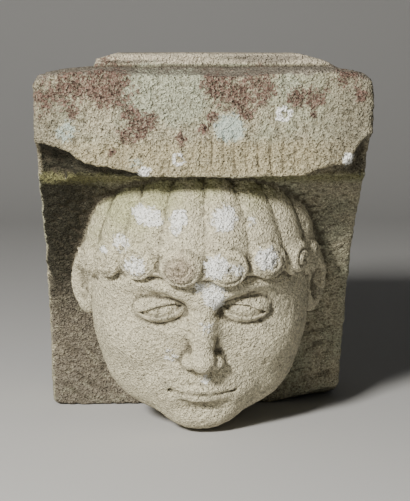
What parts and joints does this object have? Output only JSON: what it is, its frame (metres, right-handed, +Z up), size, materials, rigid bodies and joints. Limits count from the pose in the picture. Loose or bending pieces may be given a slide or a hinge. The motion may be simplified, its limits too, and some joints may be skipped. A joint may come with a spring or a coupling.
{
  "type": "stone corbel",
  "caption": "Carved stone corbel: a square band over a hollow curved face that carries a leaning human head with rolled hair, and a plain tail for building into a wall.",
  "frame": {"origin": "middle of the flat back face of the tail, at half the block's height without its raised bed", "axes": "+X to the right as seen from the front, +Y back into the wall, so the band and head face -Y, +Z up"},
  "size_m": [0.3, 0.3, 0.363],
  "materials": {
    "stone": "weathered sandstone, rough, with lichen and stains"
  },
  "bodies": {
    "root": {"corbel": "stone"}
  },
  "joints": []
}
